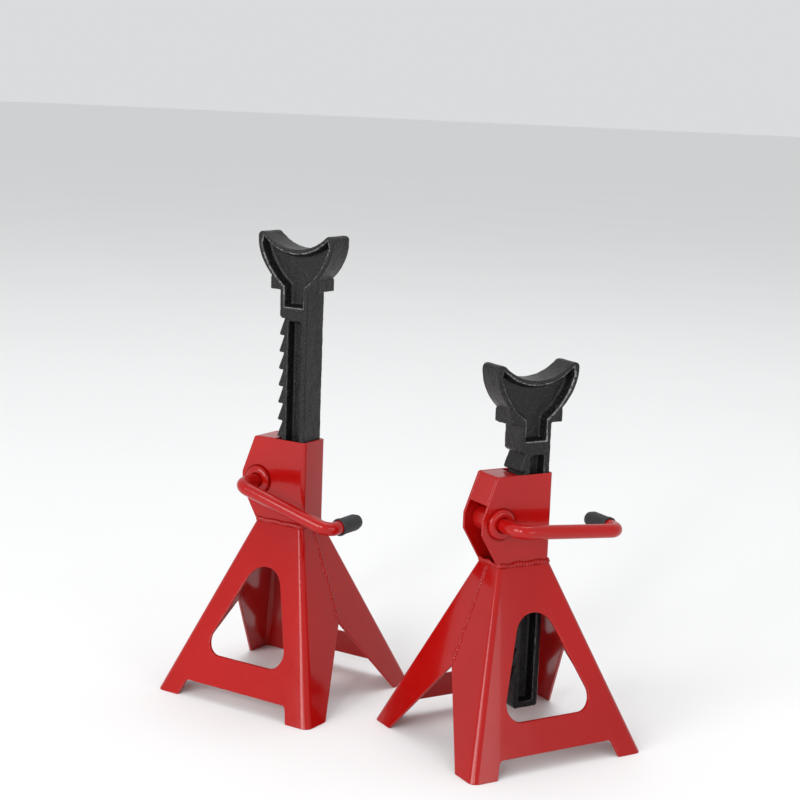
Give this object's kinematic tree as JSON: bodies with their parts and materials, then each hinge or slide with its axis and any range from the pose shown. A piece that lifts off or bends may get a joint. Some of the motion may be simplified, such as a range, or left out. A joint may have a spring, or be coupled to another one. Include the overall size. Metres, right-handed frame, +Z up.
{
  "type": "ratcheting axle stands",
  "caption": "Ratcheting axle stands with welded pyramid bases, toothed cast columns with trough saddles, and bar handles that carry the pawls.",
  "frame": {"origin": "the middle of the pair's footprint box, on the floor", "axes": "+Z up; +X along the left stand's leg frames, from its toothed side to its flat back wall, and roughly towards the right stand; +Y away from the left stand's handle"},
  "size_m": [0.3768, 0.1994, 0.3759],
  "materials": {
    "leg_paint": "glossy red powder coat on pressed sheet steel",
    "housing_paint": "glossy red powder coat on folded sheet steel",
    "weld_paint": "red powder coat over a rippled weld bead",
    "pawl_paint": "red powder coat on a rough casting",
    "bar_paint": "glossy red powder coat on round bar",
    "pin_steel": "steel roll pin with red overspray",
    "cast_black": "satin black paint on a sand-cast surface",
    "grip_rubber": "matt black rubber"
  },
  "bodies": {
    "left_stand": {"left_leg_frame_near": "leg_paint", "left_leg_frame_far": "leg_paint", "left_weld_seam_nose": "weld_paint", "left_weld_seam_back": "weld_paint", "left_weld_collar": "weld_paint", "left_housing": "housing_paint", "left_front_plate": "housing_paint", "left_pivot_boss": "housing_paint"},
    "left_column_body": {"left_column": "cast_black"},
    "left_handle": {"left_pawl": "pawl_paint", "left_handle_bar": "bar_paint", "left_roll_pin": "pin_steel", "left_grip": "grip_rubber"},
    "right_stand": {"right_leg_frame_near": "leg_paint", "right_leg_frame_far": "leg_paint", "right_weld_seam_nose": "weld_paint", "right_weld_seam_back": "weld_paint", "right_weld_collar": "weld_paint", "right_housing": "housing_paint", "right_front_plate": "housing_paint", "right_pivot_boss": "housing_paint"},
    "right_column_body": {"right_column": "cast_black"},
    "right_handle": {"right_pawl": "pawl_paint", "right_handle_bar": "bar_paint", "right_roll_pin": "pin_steel", "right_grip": "grip_rubber"}
  },
  "joints": [
    {"name": "stand_spacing", "type": "slide", "parent": "left_stand", "child": "right_stand", "axis": [1, 0, 0], "range_m": [0, 0.3]},
    {"name": "left_lift", "type": "slide", "parent": "left_stand", "child": "left_column_body", "axis": [0, 0, 1], "range_m": [-0.09646, 0.0689]},
    {"name": "left_handle_turn", "type": "hinge", "parent": "left_stand", "child": "left_handle", "pos_m": [-0.13434, -0.0149, 0.174], "axis": [0, -1, 0], "range_deg": [0, 32]},
    {"name": "right_lift", "type": "slide", "parent": "right_stand", "child": "right_column_body", "axis": [0, 0, 1], "range_m": [-0.01378, 0.15158]},
    {"name": "right_handle_turn", "type": "hinge", "parent": "right_stand", "child": "right_handle", "pos_m": [0.07931, -0.0199, 0.174], "axis": [0.8862, -0.4633, 0], "range_deg": [0, 32]}
  ]
}
